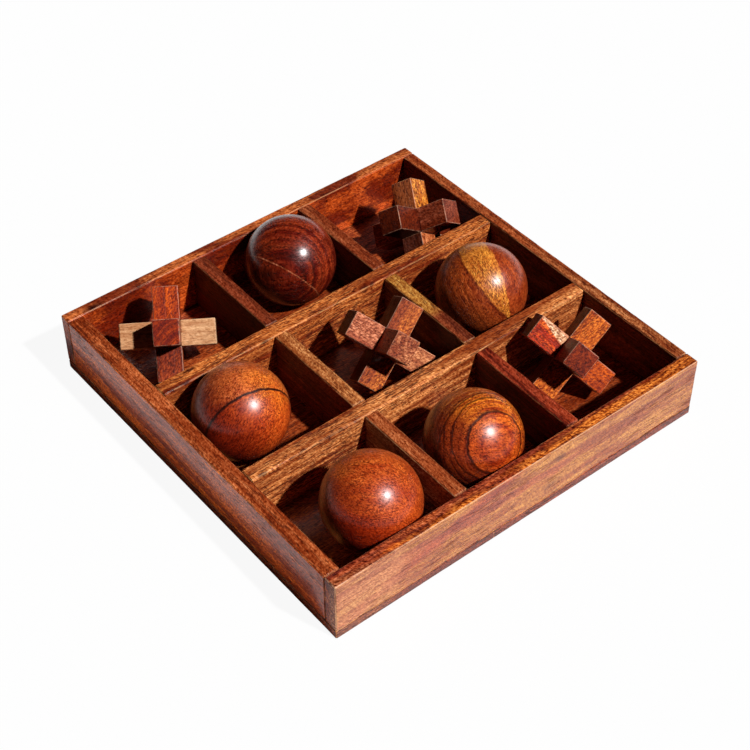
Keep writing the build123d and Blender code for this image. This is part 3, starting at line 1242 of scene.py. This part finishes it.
TRAY_WOODS = {
    "base_board": Wood(
        srgb(135, 51, 23), srgb(101, 30, 9), srgb(50, 13, 3), pith=(200, -90), ring_width=3.0,
        streak_share=1.1, fibre_share=1.5, speckle_share=1.6,
        # The near end's tint is painted light: that side, which only the floor lights, is redder and lighter,
        # with less blue.
        faces=(Face(NEAR_END, (1.5, 1.0, 0.7), 0.8), Face(UP, (1.61, 2.07, 1.55))),
        bands=(
            Band(Plane(NEAR_END, 84.0), srgb(151, 78, 39), srgb(121, 56, 25), 0.8, soft=10.0, wave=8.0),
            edge_mark(-20.4, 0.6, 0.6),
            edge_mark(58.0, 0.5, 0.4),
        ),
    ),
    "front_board": Wood(
        srgb(224, 116, 40), srgb(123, 38, 10), srgb(64, 13, 6), pith=(60, -40), slope=(0.1, 0.12),
        ring_width=4.0, wander=6.0, fibre_along=0.08, speckle_share=2.5, pore_share=0.45, varnish=0.8,
        # Painted highlight and wear: the arrises are paled strongly, as bare worn wood and partly a
        # highlight.
        arris_wear_and_highlight_colour=srgb(240, 190, 150), arris_share=0.95, arris_level=0.5,
        # Painted sheen: the near end grain has less varnish, and a paler, greyer tint in its place.
        faces=(Face(NEAR_END, (1.16, 1.13, 1.42), 0.5), Face(RIGHT_HAND, calm=0.6)),
        knots_and_shadow_lines=(KnotAndShadowLine((21.8, -4.2, 8.2), 3.4), KnotAndShadowLine((18.0, -4.2, -8.0), 5.0, 0.3)),
        bands=(
            Band(Plane(NEAR_END, 80.0), srgb(214, 92, 28), srgb(126, 21, 8), 0.9, soft=14.0, wave=12.0),
            Band(Plane(RIGHT_HAND, 3.5), srgb(197, 122, 50), srgb(157, 72, 25), soft=0.2, wave=0.3),
            Band(
                Plane((-0.28, -1.0, 0.96), 19.5), srgb(190, 81, 41), srgb(146, 51, 23), 0.9, soft=3.0,
                wave=5.0, high=Plane((-0.28, -1.0, 0.96), 26.0),
            ),
            Band(
                Plane((0.0, -2.0, 1.0), 8.0), srgb(184, 82, 46), srgb(140, 52, 28), 0.8, soft=3.0, wave=8.0,
                high=Plane((0.05, -2.0, 1.0), 14.0),
            ),
            Band(
                Plane((-1.0, -9.0, 0.0), 115.0), srgb(205, 133, 81), srgb(180, 99, 56), 0.6, soft=12.0,
                wave=8.0,
            ),
        ),
    ),
    "back_board": Wood(
        srgb(202, 79, 24), srgb(122, 31, 6), srgb(54, 10, 3), pith=(90, 30), ring_width=7.0, wander=6.0,
        mottle_share=1.2, mottle_along=0.04, streak_share=0.4, fibre_along=0.25, pore_share=0.4,
        knots_and_shadow_lines=(KnotAndShadowLine((-102.0, -2.0, 16.0), 3.4, 1.0, 3.0),), faces=(Face(UP, (1.04, 1.81, 3.52)),),
    ),
    "left_board": Wood(
        srgb(197, 98, 50), srgb(141, 54, 20), srgb(81, 26, 10), pith=(-70, -50), ring_width=4.0, gloss=0.1,
        # Painted shade on the inner right-hand side, and painted light on the outer left-hand side, which
        # only the floor lights: redder and lighter, with less blue.
        varnish=0.7, varnish_roughness=0.18, faces=(PAINTED_SHADE_SIDE, Face(LEFT_HAND, (1.4, 1.0, 0.23))),
    ),
    "right_board": Wood(
        srgb(174, 84, 42), srgb(121, 38, 13), srgb(69, 16, 4), pith=(80, -50), ring_width=5.0,
        # Painted shade on both sides: the right-hand side darker, and the left-hand side, out of the key
        # light, much darker still.
        faces=(PAINTED_SHADE_SIDE, Face(LEFT_HAND, (0.4, 0.24, 0.28), 0.9)),
        bands=(
            Band(Plane(NEAR_END, 10.0), srgb(202, 121, 69), srgb(140, 63, 28), 0.8, soft=30.0, wave=10.0),
        ),
    ),
    "front_long_divider": Wood(
        srgb(229, 138, 74), srgb(149, 64, 25), srgb(75, 24, 9), pith=(-60, -80), ring_width=3.6,
        pore_share=0.8, pore_level=0.55, arris_wear_and_highlight_colour=srgb(240, 180, 110), arris_share=0.7,
        # The dark spots at -4.6 mm, on the top front arris, are painted shadow: thin dark lines under the
        # chipped edge.
        knots_and_shadow_lines=(
            KnotAndShadowLine((-62.0, -4.6, 15.9), 1.5, 1.0, 7.0),
            KnotAndShadowLine((-104.0, -4.0, 16.0), 1.8, 1.0, 3.0),
            KnotAndShadowLine((8.0, -4.6, 16.0), 1.1, 0.9, 8.0),
            KnotAndShadowLine((92.0, -4.6, 16.0), 1.2, 0.9, 9.0),
        ),
    ),
    "back_long_divider": Wood(
        srgb(213, 117, 54), srgb(128, 44, 15), srgb(68, 18, 5), pith=(40, -70), ring_width=3.2,
        pore_share=0.8, pore_level=0.54, arris_wear_and_highlight_colour=srgb(240, 180, 100), arris_share=0.7,
        knots_and_shadow_lines=(
            KnotAndShadowLine((-91.0, 2.6, 16.0), 2.0, 1.0, 4.0),
            KnotAndShadowLine((20.0, -3.4, 16.0), 2.4, 0.9),
            # Painted shadow: a thin dark line under the chipped top front arris.
            KnotAndShadowLine((-46.0, -4.6, 15.8), 1.3, 1.0, 6.0),
            KnotAndShadowLine((-102.0, -4.2, 16.0), 1.2, 0.9, 5.0),
        ),
    ),
    "front_row_left_divider": Wood(
        srgb(194, 105, 58), srgb(158, 71, 33), srgb(102, 38, 15), pith=(60, -60), ring_width=4.0,
        # Painted shade on both sides: the right-hand side darker, and the left-hand side, out of the key
        # light, less red and greyer.
        mottle_share=0.4, faces=(PAINTED_SHADE_SIDE, Face(LEFT_HAND, (0.7, 1.2, 2.2), 0.7)),
    ),
    "front_row_right_divider": Wood(
        srgb(175, 67, 37), srgb(106, 27, 12), srgb(55, 10, 6), pith=(30, -40), ring_width=4.0,
        # Painted shade on both sides: the right-hand side darker, and the left-hand side, out of the key
        # light, much darker still.
        faces=(PAINTED_SHADE_SIDE, Face(LEFT_HAND, (0.4, 0.22, 0.28), 0.9)), arris_share=0.4,
    ),
    "middle_row_left_divider": Wood(
        srgb(217, 136, 76), srgb(155, 79, 36), srgb(95, 36, 9), pith=(50, -80), ring_width=3.0,
        # Painted shade on both sides: the right-hand side darker, and the left-hand side, out of the key
        # light, much darker still.
        faces=(PAINTED_SHADE_SIDE, Face(LEFT_HAND, (0.42, 0.2, 0.25), 0.9)),
    ),
    "middle_row_right_divider": Wood(
        srgb(195, 128, 56), srgb(149, 81, 28), srgb(75, 21, 6), pith=(50, -80), ring_width=4.0,
        bands=(Band(Plane(NEAR_END, 4.0), srgb(136, 55, 30), srgb(89, 29, 16), 0.95, soft=6.0, wave=6.0),),
        # Painted shade on both sides: the right-hand side darker, and the left-hand side, out of the key
        # light, much darker still.
        faces=(PAINTED_SHADE_SIDE, Face(LEFT_HAND, (0.36, 0.24, 0.28), 0.9)),
    ),
    "back_row_left_divider": Wood(
        srgb(141, 59, 32), srgb(108, 38, 13), srgb(64, 17, 7), pith=(30, -60), ring_width=5.0,
        # Painted shade on both sides: the right-hand side darker, and the left-hand side, out of the key
        # light, much darker still.
        mottle_share=0.4, faces=(PAINTED_SHADE_SIDE, Face(LEFT_HAND, (0.4, 0.2, 0.25), 0.9)), arris_share=0.3,
    ),
    "back_row_right_divider": Wood(
        srgb(182, 93, 53), srgb(130, 51, 23), srgb(84, 25, 8), pith=(30, -60), ring_width=5.0,
        # Painted shade on both sides: the right-hand side darker, and the left-hand side, out of the key
        # light, much darker still.
        faces=(PAINTED_SHADE_SIDE, Face(LEFT_HAND, (0.36, 0.24, 0.28), 0.9)), arris_share=0.4,
    ),
}

BALLS = (
    Ball("back_middle_ball", 21.0, layers=(-0.66, -0.68, 0.3), fibre=(0.78, -0.62, 0.0), wood=BallWood(
        srgb(154, 52, 22), srgb(93, 16, 6), srgb(36, 6, 3), pith=(0, -160), ring_width=3.4, ring_share=0.8,
        streak_share=0.5, mottle_share=0.8, varnish_roughness=0.24,
        bands=(
            # Painted shade: darker wood on the ball's left side, away from the light.
            Band(
                Plane((-0.64, -0.36, 0.67), 19.0), srgb(86, 24, 10), srgb(50, 8, 4), 0.45, soft=8.0,
                wave=3.0,
            ),
            growth_line(16.4, 1.0, srgb(40, 7, 4), 0.5, wave=1.8),
            growth_line(19.6, 0.9, srgb(46, 9, 5), 0.5, wave=1.8),
            growth_line(23.0, 0.7, srgb(40, 7, 4), 0.5, wave=1.8),
            growth_line(10.7, 0.6, srgb(176, 96, 60), 0.7, (-0.41, -0.71, 0.58), wave=0.3),
        ),
        knots_and_shadow_lines=(KnotAndShadowLine((-9.0, 1.0, 23.6), 5.0, 0.7),),
    )),
    Ball("middle_left_ball", 22.0, layers=(-0.168, -0.98, -0.11), fibre=(0.44, -0.17, 0.88), wood=BallWood(
        srgb(220, 92, 28), srgb(168, 46, 10), srgb(84, 16, 5), pith=(0, -200), ring_width=6.0,
        bands=(
            Band(Plane(DOWN, -8.9), srgb(232, 120, 56), srgb(180, 74, 36), 0.85),
            Band(
                Plane((-0.3, -0.8, -0.5), 4.0), srgb(134, 62, 36), srgb(100, 36, 20), 0.7, soft=7.0,
                wave=3.0,
            ),
            # Painted shade: darker wood on the ball's left side, away from the light.
            Band(
                Plane((-0.56, 0.78, 0.28), 8.0), srgb(140, 30, 8), srgb(92, 16, 4), 0.95, soft=12.0,
                wave=4.0,
            ),
            # Painted light: brighter orange wood where the ball faces the light.
            Band(
                Plane((0.95, -0.07, 0.28), 22.5), srgb(246, 134, 36), srgb(212, 88, 18), 0.7, soft=4.0,
                wave=2.0,
            ),
            growth_line(9.0, 1.3, srgb(44, 9, 5), 1.0),
        ),
    )),
    Ball("middle_right_ball", 23.0, layers=(0.84, -0.32, 0.33), fibre=(-0.05, -0.76, -0.65), wood=BallWood(
        srgb(190, 84, 31), srgb(134, 43, 13), srgb(66, 16, 7), pith=(0, -120), ring_width=5.0,
        ring_share=0.3, fibre_along=0.3,
        bands=(
            Band(Plane((0.18, 0.23, 0.96), 6.3), srgb(180, 73, 26), srgb(132, 41, 12), 0.85),
            Band(
                Plane((-0.18, -0.22, 0.96), 3.0), srgb(84, 34, 14), srgb(74, 26, 10), 0.5, soft=1.0,
                high=Plane((-0.18, -0.22, 0.96), 4.8),
            ),
            Band(
                Plane((-0.18, -0.22, 0.96), 4.3), srgb(238, 148, 52), srgb(198, 104, 37),
                high=Plane((0.18, 0.23, 0.96), 6.3),
            ),
            # Painted shade: darker wood on the ball's lower left side, away from the light.
            Band(Plane((0.5, -0.45, -0.7), 19.0), srgb(84, 22, 9), srgb(60, 10, 4), 0.5, soft=8.0, wave=3.0),
        ),
    )),
    Ball("front_left_ball", 24.0, layers=(0.3, 0.4, 0.86), fibre=(0.78, -0.62, 0.0), wood=BallWood(
        srgb(230, 95, 26), srgb(180, 53, 11), srgb(92, 20, 5), pith=(0, -120), ring_width=9.0,
        streak_share=0.3, mottle_share=0.7, fibre_along=0.6,
        bands=(
            # Painted light: brighter, golden wood on the ball's top.
            Band(
                Plane((0.3, -0.35, 0.85), 9.0), srgb(230, 114, 44), srgb(184, 66, 22), 0.75, soft=10.0,
                wave=5.0,
            ),
            # Painted shade: darker wood on the ball's left side, away from the light.
            Band(
                Plane((-0.6, -0.5, -0.6), 11.0), srgb(150, 30, 6), srgb(100, 14, 3), 0.95, soft=12.0,
                wave=6.0,
            ),
            Band(
                Plane((0.9, -0.43, 0.08), 17.0), srgb(196, 70, 20), srgb(144, 38, 8), 0.6, soft=9.0,
                wave=5.0,
            ),
            # Painted shade: darker, redder wood on the ball's lower front.
            Band(
                Plane((0.0, -0.63, -0.77), 16.0), srgb(164, 42, 10), srgb(108, 20, 4), 0.7, soft=8.0,
                wave=4.0,
            ),
        ),
    )),
    Ball("front_middle_ball", 25.0, layers=(-0.14, -0.84, 0.52), fibre=(0.78, -0.62, 0.0), wood=BallWood(
        srgb(232, 106, 26), srgb(150, 43, 10), srgb(56, 12, 4), pith=(0, -220), ring_width=2.4,
        ring_share=1.0, streak_share=0.5, mottle_share=0.6, wander=3.0,
        bands=(
            Band(Plane((-0.14, 0.14, -0.98), -4.7), srgb(204, 118, 72), srgb(140, 62, 32), 0.8),
            # Painted light: brighter, golden wood on the ball's top.
            Band(
                Plane((-0.06, 0.92, 0.39), 13.0), srgb(250, 140, 40), srgb(186, 70, 18), 0.6, soft=6.0,
                wave=3.0,
            ),
            # Painted shade: darker wood on the ball's left side, away from the light.
            Band(
                Plane((-0.84, -0.53, 0.14), 4.0), srgb(150, 48, 18), srgb(96, 20, 7), 0.9, soft=9.0,
                wave=4.0,
            ),
            growth_line(4.9, 0.9, srgb(56, 12, 5), 0.8, (0.14, -0.14, 0.98)),
            growth_line(15.4, 0.8, srgb(56, 12, 5), 0.8, (0.0, 0.16, 0.985), wave=1.4),
            growth_line(12.0, 0.9, srgb(60, 14, 6), 0.5, (0.0, 0.2, 0.98), wave=2.0),
            Band(Plane((0.03, 0.08, 0.99), 20.3), srgb(214, 84, 22), srgb(168, 50, 10), 0.6),
            growth_line(20.3, 0.8, srgb(56, 12, 5), 0.9, (0.03, 0.08, 0.99), wave=0.8),
            growth_line(24.8, 0.8, srgb(120, 34, 10), 0.4, (0.33, 0.02, 0.94), wave=1.0),
        ),
    )),
)

CROSSES = (
    Cross(
        "back_left_cross", Stance.TWO_EDGES, -33.1, 31.0,
        under_stick=StickWood(
            srgb(226, 171, 123), srgb(190, 129, 85), srgb(140, 84, 48), pith=(60, -60), ring_width=3.0,
            pore_share=0.4, arris_wear_and_highlight_colour=srgb(240, 200, 160), fibre_share=0.6, speckle_share=0.3,
        ),
        over_stick=StickWood(
            srgb(155, 47, 1), srgb(106, 16, 1), srgb(61, 7, 1), pith=(-9, -13), ring_width=3.0,
            ring_share=1.5, line_share=0.6, streak_share=0.2, mottle_share=0.3, speckle_share=1.2,
            end_shade=0.0,
        ),
        upper_arm=StickWood(
            srgb(203, 75, 4), srgb(145, 40, 2), srgb(93, 25, 1), pith=(-20, -30), ring_width=6.0,
        ),
        lower_arm=StickWood(
            srgb(164, 61, 20), srgb(105, 25, 4), srgb(64, 10, 2), pith=(20, -40), ring_width=4.0,
        ),
    ),
    Cross(
        "back_right_cross", Stance.THREE_CORNERS, 64.2, 41.0,
        under_stick=StickWood(
            srgb(102, 31, 7), srgb(72, 18, 3), srgb(41, 8, 3), pith=(10, -20), ring_width=3.0, end_shade=0.1,
        ),
        over_stick=StickWood(
            srgb(165, 74, 45), srgb(128, 45, 18), srgb(80, 21, 11), pith=(20, -40), ring_width=4.0,
            end_shade=0.3,
        ),
        upper_arm=StickWood(
            srgb(238, 145, 52), srgb(180, 88, 18), srgb(95, 37, 8), pith=(30, -50), ring_width=5.0,
            pore_share=0.85, pore_level=0.55, faces=(Face(DOWN, (0.6, 0.43, 1.0), 0.9, 0.6),),
        ),
        lower_arm=StickWood(
            srgb(216, 124, 73), srgb(167, 79, 36), srgb(105, 42, 15), pith=(30, -50), ring_width=5.0,
            # Painted shade: one face is tinted much darker.
            faces=(Face(DOWN, (0.24, 0.18, 0.27), 0.9),),
        ),
    ),
    Cross(
        "centre_cross", Stance.THREE_CORNERS, 136.4, 51.0,
        under_stick=StickWood(
            srgb(187, 104, 60), srgb(133, 51, 20), srgb(80, 25, 7), pith=(10, -20), ring_width=3.0,
            end_shade=0.0, faces=(Face(UP, (1.0, 0.55, 0.4), 0.9),),
        ),
        over_stick=StickWood(
            srgb(188, 91, 25), srgb(143, 54, 10), srgb(92, 27, 4), pith=(30, -40), ring_width=4.0,
            # Painted shade: one face is tinted much darker.
            faces=(Face(UP, (0.3, 0.2, 0.3), 0.9),),
        ),
        upper_arm=StickWood(
            srgb(200, 111, 71), srgb(155, 65, 32), srgb(106, 37, 14), pith=(-30, -40), ring_width=5.0,
            # Painted shade: the far end is tinted much darker.
            faces=(Face(FAR_END, (0.45, 0.25, 0.3), 0.9),),
        ),
        lower_arm=StickWood(
            srgb(203, 121, 72), srgb(162, 79, 39), srgb(114, 46, 17), pith=(30, -40), ring_width=4.0,
        ),
    ),
    Cross(
        "front_right_cross", Stance.THREE_CORNERS, 122.0, 61.0,
        under_stick=StickWood(
            srgb(138, 43, 7), srgb(102, 23, 2), srgb(61, 9, 2), pith=(10, -20), ring_width=4.0,
            end_shade=0.0, faces=(Face(UP, (1.2, 0.2, 0.15), 1.0),),
        ),
        over_stick=StickWood(
            srgb(211, 102, 26), srgb(152, 49, 7), srgb(95, 24, 3), pith=(30, -40), ring_width=4.0,
            # Painted shade: one face is tinted much darker.
            faces=(Face(UP, (0.3, 0.15, 0.3), 0.9),),
        ),
        upper_arm=StickWood(
            srgb(235, 97, 27), srgb(182, 44, 7), srgb(99, 17, 4), pith=(-30, -60), ring_width=2.2,
            # Painted shade: the far end is tinted much darker.
            ring_share=1.2, varnish=0.4, faces=(Face(FAR_END, (0.3, 0.12, 0.15), 0.9),),
            bands=(Band(Plane((-0.3, 1.0, 0.0), 3.0), srgb(235, 176, 131), srgb(212, 129, 83), 0.95),),
        ),
        lower_arm=StickWood(
            srgb(192, 73, 3), srgb(144, 37, 1), srgb(95, 18, 1), pith=(30, -40), ring_width=4.0,
        ),
    ),
)


def main() -> None:
    """Build the game and its studio."""
    logging.basicConfig(level=logging.INFO, format="%(message)s")
    block_maker = BlockMaker()
    ball_maker = BallMaker()
    Tray(TRAY_WOODS).build(block_maker)
    for ball in BALLS:
        ball.build(ball_maker)
    for cross in CROSSES:
        cross.build(block_maker)
    Studio().build()


if __name__ == "__main__":
    main()
